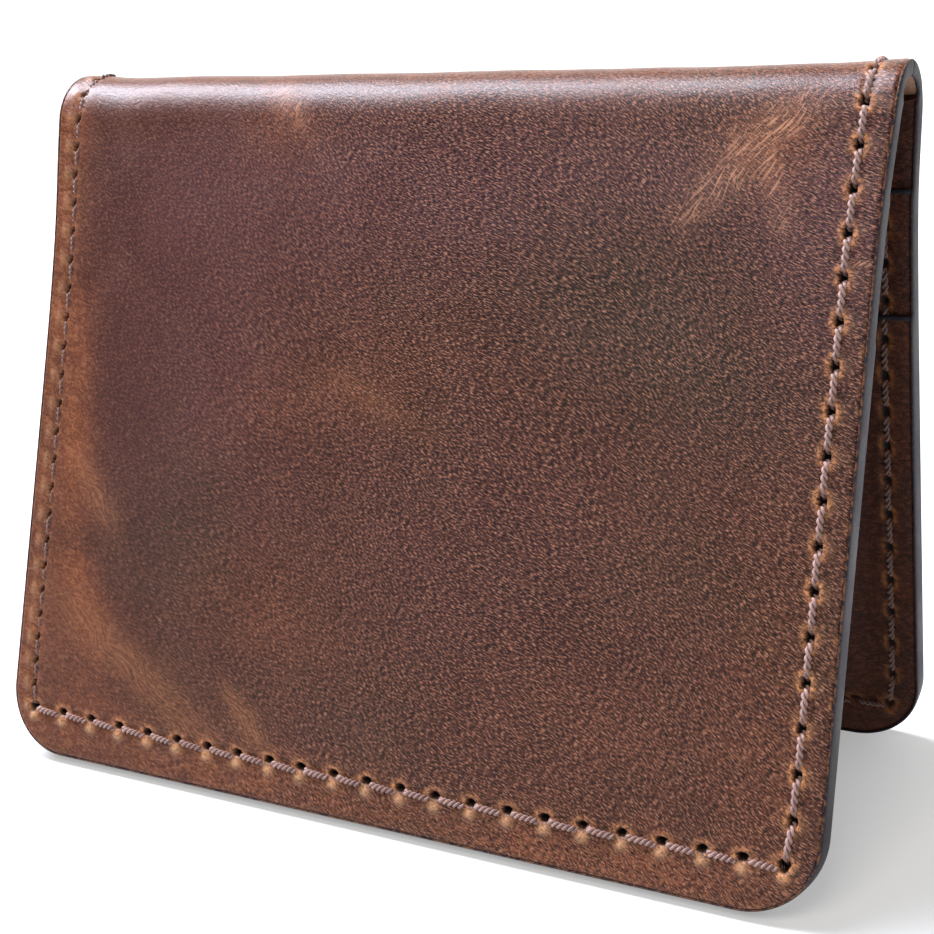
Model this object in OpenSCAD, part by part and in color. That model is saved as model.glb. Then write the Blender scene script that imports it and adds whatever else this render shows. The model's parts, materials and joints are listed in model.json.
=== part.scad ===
// A minimalist folding card wallet, standing like a tent with its fold on top.
// +X runs along the fold, +Z is up, and the front cover faces -Y.
// The origin is on the standing surface, below the middle of the fold.

/* [Covers] */
// Length of the wallet along its fold
wallet_w = 100; // [98:1:110]
// Length of a cover, from where the fold becomes straight to the bottom edge
cover_h = 76.9; // [76:0.1:84]
// Radius of the bottom corners of a cover
corner_r = 8; // [6:0.5:10]
// Lean of each cover from upright
lean = 14.4; // [10:0.1:25]

/* [Fold] */
// Radius of the outside of the fold
fold_r = 6.3; // [6:0.1:7]
// Width of the slit that each bend line keeps on the outside
slit_w = 0.09; // [0.06:0.01:0.2]
// Angle from the top of the fold to where the lining panels start
lining_a = 50; // [46:1:60]

/* [Leather] */
// Thickness of the outer shell
shell_t = 1.6; // [1.4:0.1:1.8]
// Thickness of the lining panel behind the pockets
lining_t = 0.9; // [0.8:0.05:1]
// Thickness of a pocket sheet
pocket_t = 0.5; // [0.4:0.05:0.6]
// Thickness of the paint on the cut edges
paint_t = 0.25; // [0.15:0.05:0.4]

/* [Card pockets] */
// Distance from the fold to the mouth of the upper pocket
upper_mouth = 7.5; // [6:0.1:10]
// Distance from the fold to the mouth of the lower pocket
lower_mouth = 21.3; // [18:0.1:24]
// Distance from the fold to the bottom of the upper pocket
upper_base = 59; // [56:0.5:62]
// Room for one card, front to back
card_gap = 0.8; // [0.78:0.01:0.85]
// Width of the room for a card
card_room_w = 88; // [87:0.5:89]

/* [Stitching] */
// Distance of the side rows from the side edges
side_inset = 3; // [2.8:0.1:3.2]
// Distance of the bottom row from the bottom edge
bottom_inset = 5; // [4.5:0.1:5.5]
// Holes in the right row of one cover, counted from the middle of the fold
right_holes = 19; // [19:1:20]
// Holes in the left row of one cover, counted from the middle of the fold
left_holes = 24; // [23:1:25]
// Holes in the bottom row of one cover
bottom_holes = 23; // [20:1:25]
// Diameter of the thread
thread_d = 0.6; // [0.5:0.05:0.65]
// Diameter of a stitch hole
hole_d = 0.9; // [0.8:0.05:1]
// Width of the groove that the stitches lie in
groove_w = 1.1; // [1.05:0.05:1.3]
// Depth of the groove that the stitches lie in
groove_d = 0.75; // [0.7:0.05:0.8]

/* [Hidden] */
$fn = 24;
arc_steps = 12;                              // flats around each stretch of the fold
cut = 1;                                     // how far a cutting shape passes a face
edge_x = wallet_w / 2;
fold_a = 90 - lean;                          // angle from the top of the fold to a cover
bend_a = fold_a / 2;                         // angle from the top of the fold to a bend line
arc_len = fold_r * fold_a * PI / 180;        // the same as fold_a, along the outside
shell_in = fold_r - shell_t;                 // inner face of each layer, from the fold's centre
lining_in = shell_in - lining_t;
upper_in = lining_in - pocket_t;
lower_in = upper_in - pocket_t;
centre_z = cover_h * cos(lean) - lower_in * sin(lean);
closing_a = 14;                              // how far a bend line closes from the stand
wedge_a = closing_a / 2 + 1.2;               // half of the notch inside a bend line
row_x = edge_x - side_inset;
row_s = arc_len + cover_h - bottom_inset;    // bottom row, along the outside from the top
right_pitch = row_s / (right_holes - 0.5);
left_pitch = row_s / (left_holes - 0.5);
bottom_pitch = 2 * row_x / (bottom_holes - 1);
leg_d = thread_d - 0.06;                     // thread inside a hole
bridge_d = thread_d - 0.12;                  // thread where it bridges the fold
thread_gap = 0.03;                           // air between a stitch and the leather
fold_rise = 0.1;                             // how far a stitch lifts where it bridges the fold
outer_level = fold_r - 0.05 - thread_d / 2;  // centre of the stitches in the groove
corner_gap = 0.55;                           // a side row stops this far from the corner hole
seam_s = upper_base + 1.3;                   // row that closes the upper pocket
seam_d = 0.34;
seam_hole_d = 0.6;
seam_holes = 21;
seam_pitch = 4.2;
seam_groove_w = 0.8;
seam_groove_d = 0.4;
rod_inset = 0.2;                             // a rod stops this far short of a leg's axis
slope_shift = pocket_t * tan(22.5);          // keeps a sheet's thickness on a 45 degree slope
leather_brown = [0.36, 0.22, 0.17];
lining_brown = [0.27, 0.15, 0.11];
paint_grey = [0.33, 0.34, 0.38];
thread_tan = [0.78, 0.62, 0.55];

// ---- places ----

// The back half mirrors the front half.
module back_half() {
    mirror([0, 1, 0]) children();
}

// Puts a child at a bearing around the fold, 0 at the top and fold_a at the front cover.
// The child's z is the distance from the fold's centre.
module at_bearing(a) {
    translate([0, 0, centre_z]) rotate([a, 0, 0]) children();
}

// A point [y, z] from the fold's centre, at a distance u below the fold.
function cover_point(u, level) =
    [-level * sin(fold_a) - u * cos(fold_a), level * cos(fold_a) - u * sin(fold_a)];

// The same at a distance s down the outside, measured from the top of the fold.
function path_point(s, level) =
    let (a = s / arc_len * fold_a)
    s < arc_len ? [-level * sin(a), level * cos(a)] : cover_point(s - arc_len, level);

// Points of an arc around the fold's centre, between two bearings.
function arc_points(r, a1, a2) =
    [for (i = [0 : arc_steps]) let (a = a1 + (a2 - a1) * i / arc_steps) [-r * sin(a), r * cos(a)]];

// Side view of a band around the fold.
function arc_band(low, high, a1, a2) = concat(arc_points(high, a1, a2), arc_points(low, a2, a1));

// Side view of a sheet that starts on the fold at bearing a1 and runs down the front
// cover past its bottom edge. inner lists the points of its inner face on the fold.
function bent_profile(inner, low, high, a1) = concat(
    arc_points(high, a1, fold_a),
    [cover_point(cover_h + cut, high), cover_point(cover_h + cut, low)],
    inner
);

// Puts a child at a distance s down the outside, measured from the top of the fold.
module at_path(s) {
    if (s < arc_len) {
        at_bearing(s / arc_len * fold_a) children();
    } else {
        at_bearing(fold_a) translate([0, arc_len - s, 0]) children();
    }
}

// ---- shapes ----

// Outline of a cover below a line at distance top, shrunk by inset.
module cover_outline(inset, top) {
    x = edge_x - inset;
    r = corner_r - inset;
    bottom = inset - cover_h;
    translate([-x, bottom + r]) square([2 * x, -top - bottom - r]);
    translate([r - x, bottom]) square([2 * (x - r), r + 1]);
    for (side = [-1, 1]) translate([side * (x - r), bottom + r]) circle(r, $fn = 64);
}

// A flat layer of the front cover between two distances from the fold's centre.
module layer(low, high, inset, top) {
    at_bearing(fold_a) translate([0, 0, low]) linear_extrude(high - low) cover_outline(inset, top);
}

// A bar along X from x1 to x2 whose side view, [y, z] from the fold's centre, is a polygon.
module side_bar(points, x1, x2) {
    translate([x1, 0, centre_z]) rotate([90, 0, 90]) linear_extrude(x2 - x1) polygon(points);
}

// A sheet of the front cover with this side view, cut to the cover's outline.
module bent_sheet(points, inset) {
    x = edge_x - inset;
    intersection() {
        side_bar(points, -x, x);
        at_bearing(fold_a) linear_extrude(fold_r + cut) cover_outline(inset, -fold_r);
    }
}

// A round thread that follows the fold.
module fold_thread(level, a1, a2, x) {
    translate([0, 0, centre_z]) rotate([180, -90, 0]) rotate([0, 0, a1])
        rotate_extrude(angle = a2 - a1, $fn = 144) translate([level, x]) circle(d = thread_d);
}

// The notch inside a bend line, which lets the covers close.
module bend_notch() {
    tip = slit_w / 2 / tan(wedge_a);
    depth = fold_r + tip - 2;
    half = depth * tan(wedge_a);
    at_bearing(bend_a) translate([-edge_x - cut, 0, fold_r + tip]) rotate([90, 0, 90])
        linear_extrude(wallet_w + 2 * cut) polygon([[0, 0], [-half, -depth], [half, -depth]]);
}

// A strip of the shell's thickness over the middle of the fold, between the two bend lines.
module spine_layer(x1, x2) {
    difference() {
        side_bar(arc_band(shell_in, fold_r, -bend_a, bend_a), x1, x2);
        bend_notch();
        back_half() bend_notch();
    }
}

// ---- stitching ----

function right_s(k) = (k + 0.5) * right_pitch;
function left_s(k) = (k + 0.5) * left_pitch;
function bottom_x(k) = -row_x + k * bottom_pitch;
function seam_x(k) = (k - (seam_holes - 1) / 2) * seam_pitch;

// The last hole of a row before a pocket mouth, counted from the middle of the fold.
function hole_above(mouth, pitch) = floor((arc_len + mouth) / pitch - 0.5);

module stitch_hole(x, s) {
    at_path(s) translate([x, 0, cut]) cylinder(h = fold_r, d = hole_d);
}

// All the holes of the front cover.
module front_holes() {
    for (k = [1 : right_holes - 2]) stitch_hole(row_x, right_s(k));
    for (k = [1 : left_holes - 2]) stitch_hole(-row_x, left_s(k));
    for (k = [0 : bottom_holes - 1]) stitch_hole(bottom_x(k), row_s);
}

// The holes in the middle of the fold, two to a side.
module spine_holes() {
    for (way = [-1, 1]) {
        stitch_hole(row_x, way * right_s(0));
        stitch_hole(-row_x, way * left_s(0));
    }
}

// The grooves in the outer face of the front cover, as one U.
module front_grooves() {
    low = fold_r - groove_d;
    inset = side_inset - groove_w / 2;
    width = [edge_x - inset, edge_x - inset - groove_w];
    bottom = cover_h - bottom_inset + groove_w / 2;
    start_a = bend_a - wedge_a;
    floor = concat([cover_point(0, low)], arc_points(low - fold_rise, fold_a, start_a));
    intersection() {
        side_bar(bent_profile(floor, low, fold_r + cut, start_a), -edge_x, edge_x);
        at_bearing(fold_a) linear_extrude(fold_r + 2 * cut) difference() {
            translate([-width[0], -bottom]) square([2 * width[0], bottom + fold_r]);
            translate([-width[1], groove_w - bottom]) square([2 * width[1], bottom + fold_r]);
        }
    }
}

// A straight length of thread at x, from point p to point q.
module thread_rod(x, p, q, d) {
    way = q - p;
    translate([x, p[0], centre_z + p[1]]) rotate([atan2(-way[0], way[1]), 0, 0])
        cylinder(h = norm(way), d = d);
}

// The length of thread inside one hole, between two distances from the fold's centre.
module stitch_leg(x, s, low, high, d) {
    at_path(s) translate([x, 0, low]) cylinder(h = high - low, d = d);
}

// A row of stitches down one side of the front cover. It starts with a stitch on the fold
// and ends at the corner hole. Its inner side steps over the two pocket mouths.
module side_row(x, pitch, holes) {
    drop = thread_gap + thread_d / 2;
    k1 = hole_above(upper_mouth, pitch);
    k2 = hole_above(lower_mouth, pitch);
    s1 = 1.5 * pitch;
    s2 = 2.5 * pitch;
    end = row_s - corner_gap;
    levels = [lining_in - drop, upper_in - drop, lower_in - drop];
    bounds = [s2, (k1 + 0.5) * pitch, (k2 + 0.5) * pitch, end];
    for (i = [0, 1]) {
        level = [outer_level, levels[0]][i];
        lift = [fold_rise, 0][i];
        thread_rod(x, path_point(s1, level + lift), path_point(s2 - rod_inset, level), bridge_d);
    }
    thread_rod(x, path_point(s2 + rod_inset, outer_level), path_point(end, outer_level), thread_d);
    for (i = [0 : 2]) {
        last = bounds[i + 1] - (i < 2 ? rod_inset : 0);
        thread_rod(x, path_point(bounds[i] + rod_inset, levels[i]), path_point(last, levels[i]), thread_d);
    }
    for (k = [1 : holes - 2]) {
        level = k < k1 ? levels[0] : k < k2 ? levels[1] : levels[2];
        stitch_leg(x, (k + 0.5) * pitch, level, outer_level, leg_d);
    }
}

// The row of stitches along the bottom of the front cover, with both corner holes.
module bottom_row() {
    inner_level = lower_in - thread_gap - thread_d / 2;
    for (level = [inner_level, outer_level]) {
        at_path(row_s) translate([-row_x, 0, level]) rotate([0, 90, 0]) cylinder(h = 2 * row_x, d = thread_d);
    }
    for (k = [0 : bottom_holes - 1]) stitch_leg(bottom_x(k), row_s, inner_level, outer_level, leg_d);
}

// The one stitch of a side row that lies over the top of the fold.
module spine_stitch(x, s) {
    a = s / arc_len * fold_a;
    inner_level = shell_in - thread_gap - thread_d / 2;
    for (level = [inner_level, outer_level]) fold_thread(level, -a, a, x);
    for (way = [-1, 1]) stitch_leg(x, way * s, inner_level, outer_level, leg_d);
}

// The hidden row that closes the bottom of the upper pocket.
module pocket_seam() {
    low = upper_in - thread_gap - seam_d / 2;
    high = shell_in - thread_gap - seam_d / 2;
    x = seam_x(0);
    for (level = [low, high]) {
        at_path(arc_len + seam_s) translate([x, 0, level]) rotate([0, 90, 0]) cylinder(h = -2 * x, d = seam_d);
    }
    for (k = [0 : seam_holes - 1]) stitch_leg(seam_x(k), arc_len + seam_s, low, high, seam_d - 0.04);
}

module seam_cuts() {
    for (k = [0 : seam_holes - 1]) {
        at_path(arc_len + seam_s) translate([seam_x(k), 0, cut]) cylinder(h = fold_r, d = seam_hole_d);
    }
}

// ---- card pockets ----

// A pan with sloping walls in the front cover, from distance top to distance base, whose
// rim is at face and whose floor is lift nearer to the fold's centre.
module pan(face, lift, half_w, top, base) {
    rim = face + cut;
    at_bearing(fold_a) intersection() {
        translate([0, -top, 0]) rotate([90, 0, 0]) linear_extrude(base - top)
            polygon([
                [-half_w, rim], [half_w, rim], [half_w, face],
                [half_w - lift, face - lift], [lift - half_w, face - lift], [-half_w, face]
            ]);
        translate([-half_w, 0, 0]) rotate([90, 0, 90]) linear_extrude(2 * half_w)
            polygon([
                [-top, rim], [-top, face - lift], [lift - base, face - lift], [-base, face], [-base, rim]
            ]);
    }
}

// One pocket sheet of the front cover between the distances top and bottom from the fold.
// The sheet is sewn flat at its margin and stands off by lift in the middle.
module pocket_sheet(face, lift, base, top) {
    half_w = card_room_w / 2 + lift;
    difference() {
        union() {
            layer(face - pocket_t, face, paint_t, top);
            intersection() {
                pan(face - pocket_t, lift, half_w + slope_shift, top, base + slope_shift);
                layer(0, face, paint_t, top);
            }
        }
        pan(face, lift, half_w, top - cut, base);
        front_holes();
    }
}

// The painted edge at the mouth of a pocket.
module slot_edge(face, lift, mouth) {
    half_w = card_room_w / 2 + lift;
    out_w = half_w + slope_shift;
    x = edge_x - paint_t;
    low = face - pocket_t;
    at_bearing(fold_a) translate([0, -mouth, 0]) rotate([90, 0, 0]) linear_extrude(paint_t)
        polygon([
            [-x, face], [-half_w, face], [lift - half_w, face - lift],
            [half_w - lift, face - lift], [half_w, face], [x, face],
            [x, low], [out_w, low], [out_w - lift, low - lift],
            [lift - out_w, low - lift], [-out_w, low], [-x, low]
        ]);
}

// ---- edge paint ----

// The paint of the front half, around the edges of all its layers.
module front_paint() {
    inner = concat(
        [cover_point(0, lower_in), cover_point(0, lining_in)],
        arc_points(lining_in, fold_a, lining_a),
        arc_points(shell_in, lining_a, bend_a)
    );
    difference() {
        bent_sheet(bent_profile(inner, lower_in, fold_r, bend_a), 0);
        at_bearing(fold_a) linear_extrude(fold_r + cut) cover_outline(paint_t, -fold_r - cut);
        pocket_step(lower_mouth, upper_in);
        pocket_step(upper_mouth, lining_in);
        bend_notch();
    }
}

// The room above a pocket mouth, where its layer is missing.
module pocket_step(mouth, level) {
    at_bearing(fold_a) translate([-edge_x - cut, -mouth, 0]) cube([wallet_w + 2 * cut, mouth + cut, level]);
}

// ---- front half ----

module front_shell() {
    inner = arc_points(shell_in, fold_a, bend_a);
    difference() {
        bent_sheet(bent_profile(inner, shell_in, fold_r, bend_a), paint_t);
        bend_notch();
        front_grooves();
        front_holes();
    }
}

module front_lining() {
    inner = arc_points(lining_in, fold_a, lining_a);
    difference() {
        bent_sheet(bent_profile(inner, lining_in, shell_in, lining_a), paint_t);
        front_holes();
        seam_cuts();
        at_path(arc_len + seam_s) translate([seam_x(0) - cut, -seam_groove_w / 2, shell_in - seam_groove_d])
            cube([2 * cut - 2 * seam_x(0), seam_groove_w, seam_groove_d + cut]);
    }
}

module upper_pocket() {
    difference() {
        pocket_sheet(lining_in, card_gap, upper_base, upper_mouth + paint_t);
        seam_cuts();
    }
}

module lower_pocket() {
    base = cover_h - bottom_inset - 1;
    pocket_sheet(upper_in, 2 * card_gap, base, lower_mouth + paint_t);
}

// ---- nodes ----

module outer_shell_front() color(leather_brown) front_shell();
module outer_shell_back() color(leather_brown) back_half() front_shell();

module outer_shell_spine() {
    x = edge_x - paint_t;
    color(leather_brown) difference() {
        spine_layer(-x, x);
        for (side = [-1, 1]) {
            gx = side * row_x - groove_w / 2;
            side_bar(arc_band(fold_r - groove_d, fold_r + cut, -bend_a, bend_a), gx, gx + groove_w);
        }
        spine_holes();
    }
}

module lining_front() color(lining_brown) front_lining();
module lining_back() color(lining_brown) back_half() front_lining();

module upper_pocket_front() color(leather_brown) upper_pocket();
module upper_pocket_back() color(leather_brown) back_half() upper_pocket();
module lower_pocket_front() color(leather_brown) lower_pocket();
module lower_pocket_back() color(leather_brown) back_half() lower_pocket();

module upper_slot_edge_front() color(paint_grey) slot_edge(lining_in, card_gap, upper_mouth);
module upper_slot_edge_back() color(paint_grey) back_half() slot_edge(lining_in, card_gap, upper_mouth);
module lower_slot_edge_front() color(paint_grey) slot_edge(upper_in, 2 * card_gap, lower_mouth);
module lower_slot_edge_back() color(paint_grey) back_half() slot_edge(upper_in, 2 * card_gap, lower_mouth);

module edge_paint_front() color(paint_grey) front_paint();
module edge_paint_back() color(paint_grey) back_half() front_paint();

module edge_paint_spine() {
    color(paint_grey) {
        spine_layer(-edge_x, paint_t - edge_x);
        spine_layer(edge_x - paint_t, edge_x);
    }
}

module left_stitches_front() color(thread_tan) side_row(-row_x, left_pitch, left_holes);
module left_stitches_spine() color(thread_tan) spine_stitch(-row_x, left_s(0));
module left_stitches_back() color(thread_tan) back_half() side_row(-row_x, left_pitch, left_holes);
module right_stitches_front() color(thread_tan) side_row(row_x, right_pitch, right_holes);
module right_stitches_spine() color(thread_tan) spine_stitch(row_x, right_s(0));
module right_stitches_back() color(thread_tan) back_half() side_row(row_x, right_pitch, right_holes);
module bottom_stitches_front() color(thread_tan) bottom_row();
module bottom_stitches_back() color(thread_tan) back_half() bottom_row();
module pocket_seam_front() color(thread_tan) pocket_seam();
module pocket_seam_back() color(thread_tan) back_half() pocket_seam();

outer_shell_front();
outer_shell_spine();
outer_shell_back();
lining_front();
lining_back();
upper_pocket_front();
upper_pocket_back();
lower_pocket_front();
lower_pocket_back();
upper_slot_edge_front();
upper_slot_edge_back();
lower_slot_edge_front();
lower_slot_edge_back();
edge_paint_front();
edge_paint_spine();
edge_paint_back();
left_stitches_front();
left_stitches_spine();
left_stitches_back();
right_stitches_front();
right_stitches_spine();
right_stitches_back();
bottom_stitches_front();
bottom_stitches_back();
pocket_seam_front();
pocket_seam_back();
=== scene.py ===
import json
import math

import bmesh
import bpy
import numpy as np
from mathutils import Matrix, Vector


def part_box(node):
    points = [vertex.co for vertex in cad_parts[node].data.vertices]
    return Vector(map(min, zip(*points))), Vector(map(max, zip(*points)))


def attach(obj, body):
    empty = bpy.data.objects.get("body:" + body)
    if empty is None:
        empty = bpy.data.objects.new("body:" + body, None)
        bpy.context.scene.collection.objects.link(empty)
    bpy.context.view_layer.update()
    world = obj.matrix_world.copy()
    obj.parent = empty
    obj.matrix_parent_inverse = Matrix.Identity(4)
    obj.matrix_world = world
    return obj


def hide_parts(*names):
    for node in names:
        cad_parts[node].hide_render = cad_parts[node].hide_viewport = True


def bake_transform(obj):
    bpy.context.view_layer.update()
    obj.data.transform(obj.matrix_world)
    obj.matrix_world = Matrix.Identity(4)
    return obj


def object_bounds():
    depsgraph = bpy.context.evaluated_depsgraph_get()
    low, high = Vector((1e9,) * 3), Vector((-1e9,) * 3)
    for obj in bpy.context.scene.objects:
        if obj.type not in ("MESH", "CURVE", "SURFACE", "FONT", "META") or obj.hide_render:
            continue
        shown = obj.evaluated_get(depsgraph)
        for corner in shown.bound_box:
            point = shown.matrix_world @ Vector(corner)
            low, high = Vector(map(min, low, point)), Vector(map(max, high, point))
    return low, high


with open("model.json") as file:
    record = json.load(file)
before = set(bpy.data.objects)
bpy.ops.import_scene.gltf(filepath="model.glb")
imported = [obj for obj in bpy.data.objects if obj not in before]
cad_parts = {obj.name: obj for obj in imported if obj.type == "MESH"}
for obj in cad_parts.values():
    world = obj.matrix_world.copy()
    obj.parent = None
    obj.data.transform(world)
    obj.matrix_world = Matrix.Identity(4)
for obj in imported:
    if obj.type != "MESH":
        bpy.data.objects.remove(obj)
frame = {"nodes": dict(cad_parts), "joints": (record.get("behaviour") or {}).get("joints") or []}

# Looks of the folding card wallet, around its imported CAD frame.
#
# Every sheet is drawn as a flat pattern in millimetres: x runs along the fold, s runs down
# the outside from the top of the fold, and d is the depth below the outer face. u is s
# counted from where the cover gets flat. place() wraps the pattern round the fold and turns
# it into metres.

MM = 0.001
cad_bounds = [list(corner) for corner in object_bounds()]


def box_mm(node):
    """Lowest and highest corner of a CAD node, in millimetres."""
    return [np.array(corner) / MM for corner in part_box(node)]


# ---- sizes, from the frame ----

cad_high = np.array(cad_bounds[1]) / MM
bend_place = next(j["pos_m"] for j in frame["joints"] if j["name"] == "front_bend")
bend_y = abs(bend_place[1]) / MM
bend_drop = cad_high[2] - bend_place[2] / MM
EDGE_X = cad_high[0]
FOLD_R = (bend_y**2 + bend_drop**2) / (2 * bend_drop)
FOLD_Z = cad_high[2] - FOLD_R
BEND_A = math.asin(bend_y / FOLD_R)
FOLD_A = 2 * BEND_A
ARC = FOLD_R * FOLD_A
COVER = (cad_high[1] - FOLD_R * math.sin(FOLD_A)) / math.cos(FOLD_A)
END_S = ARC + COVER


def mouth_of(node, level):
    """Distance s of the top of a slot edge. level is its distance from the fold's centre."""
    top = box_mm(node)[1][2]
    return ARC + (FOLD_Z + level * math.cos(FOLD_A) - top) / math.sin(FOLD_A)


# ---- sizes that the frame doesn't hold, as in the CAD source ----

SHELL_T = 1.6
LINING_T = 0.9
POCKET_T = 0.5
PAINT_T = 0.25
CORNER_R = 8.0
CARD_GAP = 0.8
CARD_HALF_W = 44.0
THREAD_R = 0.3
LINING_A = math.radians(50)
UPPER_BASE = 59.0
BOTTOM_INSET = 5.0

# ---- sizes of the pieces below ----

SHEET_R = CORNER_R - PAINT_T
SHEET_X = EDGE_X - PAINT_T
SHEET_S = END_S - PAINT_T
LINING_D = SHELL_T + LINING_T
UPPER_D = LINING_D + POCKET_T
LINING_S = FOLD_R * LINING_A
UPPER_MOUTH = mouth_of("upper_slot_edge_front", FOLD_R - LINING_D)
LOWER_MOUTH = mouth_of("lower_slot_edge_front", FOLD_R - UPPER_D)
ROW_X = box_mm("right_stitches_front")[1][0] - THREAD_R
ROW_S = END_S - BOTTOM_INSET
CORNER_IN = 0.5  # how far the corner holes sit in from the side rows
CORNER_UP = 0.3  # and up from the bottom row
UPPER_FOOT_S = ARC + UPPER_BASE
LOWER_FOOT_S = END_S - 6.0
EDGE_R = 0.4  # how the cut edge of the leather rolls over
SHEET_AIR = 0.04  # how much thinner an inner sheet is than the CAD has it
CARD_FILL = 0.93  # share of the gap behind a pocket that the pocket really bulges
UV_SPAN = 200.0  # millimetres of the flat pattern across the whole UV square
SHARP_ANGLE = math.radians(75)
SKIN = 0.1  # faces less deep than this are the outer face of a slab


# ---- shaping helpers ----

def smooth(t):
    """A soft step, from 0 at 0 to 1 at 1."""
    t = np.clip(t, 0, 1)
    return t * t * (3 - 2 * t)


def bump(t):
    """A soft bell, 1 in its middle."""
    return np.exp(-np.square(t))


def wave(x, s, seed, length):
    """A gentle random waviness between about -1 and 1, the same for every run."""
    rng = np.random.default_rng(seed)
    total = np.zeros_like(x)
    for _ in range(7):
        angle = rng.uniform(0, 2 * math.pi)
        turn = 2 * math.pi / (length * rng.uniform(0.7, 1.6))
        phase = rng.uniform(0, 2 * math.pi)
        total += np.sin((x * math.cos(angle) + s * math.sin(angle)) * turn + phase)
    return total / 3.5


def warp(x, s, d):
    """How the worn leather departs from the CAD: the fold's ends splay and curl out."""
    side = np.abs(x) / EDGE_X
    splay = np.where(x < 0, 1.25 / (1 + (s / 18) ** 4), 0.75 / (1 + (s / 13) ** 4))
    curl = 0.42 * smooth((side - 0.84) / 0.16) * bump(s / 8)
    belly = 0.28 * bump((s - ARC - 9) / 8) * (1 - side**4)
    return x + np.sign(x) * splay * side**3, d - curl - belly


def place(flat, side):
    """Points of a flat pattern in space, in metres. side is -1 in front and 1 at the back."""
    x, s, d = np.asarray(flat, float).T
    x, d = warp(x, s, d)
    level = FOLD_R - d
    a = np.clip(s / FOLD_R, 0, FOLD_A)
    u = np.maximum(s - ARC, 0)
    y = level * np.sin(a) + u * math.cos(FOLD_A)
    z = FOLD_Z + level * np.cos(a) - u * math.sin(FOLD_A)
    return np.stack([x, side * y, z], axis=1) * MM


def edge_distance(x, s):
    """Distance in from the outline of a cover's sheets."""
    qx = np.abs(x) - (SHEET_X - SHEET_R)
    qs = s - (SHEET_S - SHEET_R)
    corner = SHEET_R - np.hypot(np.maximum(qx, 0), np.maximum(qs, 0))
    straight = np.minimum(SHEET_X - np.abs(x), SHEET_S - s)
    return np.where((qx > 0) & (qs > 0), corner, straight)


def near_rows(x, s, reach, bottom_reach=7):
    """Whether a place is so close to the stitches that it needs a finer mesh."""
    return (edge_distance(x, s) < reach) | (s > SHEET_S - bottom_reach)


# ---- stitch rows ----

RIGHT_HOLES = 19
LEFT_HOLES = 25
BOTTOM_HOLES = 23


def side_row(count, x, first, sway):
    """Holes (x, s) down one side, from the top of the fold to the corner hole. sway moves
    them along the row, which isn't stitched quite evenly."""
    k = np.arange(count) / (count - 1)
    s = first + (ROW_S - CORNER_UP - first) * k + sway(k)
    inward = CORNER_IN * smooth((k - 0.94) / 0.06)
    return np.stack([x - np.sign(x) * inward, s], axis=1)


def bottom_row():
    """Holes (x, s) along the bottom, from corner hole to corner hole, bowed a little."""
    k = np.linspace(-1, 1, BOTTOM_HOLES)
    x = (ROW_X - CORNER_IN) * k + 0.35 * (1 - k**8)
    s = ROW_S - CORNER_UP + 0.6 * (1 - k**2)
    return np.stack([x, s], axis=1)


ROWS = {
    "right": side_row(RIGHT_HOLES, ROW_X, 2.7, lambda k: -0.5 * np.sin(math.pi * k)),
    "left": side_row(LEFT_HOLES, -ROW_X, 1.7, lambda k: 2.6 * np.sin(math.pi * k**1.6) ** 1.2),
    "bottom": bottom_row(),
}


def row_frame(name, x, s):
    """Position along a row and across it. Across is positive towards the edge of the cover."""
    holes = ROWS[name]
    if name == "bottom":
        return x, s - np.interp(x, holes[:, 0], holes[:, 1])
    line = np.interp(s, holes[:, 1], holes[:, 0])
    return s, (x - line) * math.copysign(1, holes[0, 0])


# half the length and half the width of a hole, how far it sits off the row, and its slant
HOLE_SHAPES = {
    "right": (0.66, 0.42, -0.05, 0.1),
    "left": (0.56, 0.22, 0.05, 0.35),
    "bottom": (0.58, 0.40, -0.22, 0.0),
}
# how high the leather puckers beside a hole, how light it is there, how long the pucker is,
# and how far off the row
PUCKERS = {
    "right": (0.06, 0.10, 0.90, 1.10),
    "left": (0.17, 0.30, 0.90, 1.10),
    "bottom": (0.26, 0.75, 0.62, 0.98),
}
HOLE_DEPTH = 1.15
GROOVE_DEPTH = 0.10
TROUGH_DEPTHS = {"right": 0.05, "left": 0.05, "bottom": 0.16}


# ---- flat patterns to meshes ----

def corner_map(x, s):
    """Rounds the bottom corners of a grid: the corner square becomes a quarter disc."""
    a = np.clip((np.abs(x) - (SHEET_X - SHEET_R)) / SHEET_R, 0, 1)
    b = np.clip((s - (SHEET_S - SHEET_R)) / SHEET_R, 0, 1)
    inside = (a > 0) & (b > 0)
    round_x = np.sign(x) * (SHEET_X - SHEET_R + SHEET_R * a * np.sqrt(1 - b**2 / 2))
    round_s = SHEET_S - SHEET_R + SHEET_R * b * np.sqrt(1 - a**2 / 2)
    return np.where(inside, round_x, x), np.where(inside, round_s, s)


def lines(*stops, step):
    """Grid lines through the stops, about a step apart."""
    out = [stops[0]]
    for a, b in zip(stops, stops[1:]):
        count = max(1, round((b - a) / step))
        out.extend(a + (b - a) * (i + 1) / count for i in range(count))
    return np.array(out)


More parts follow.
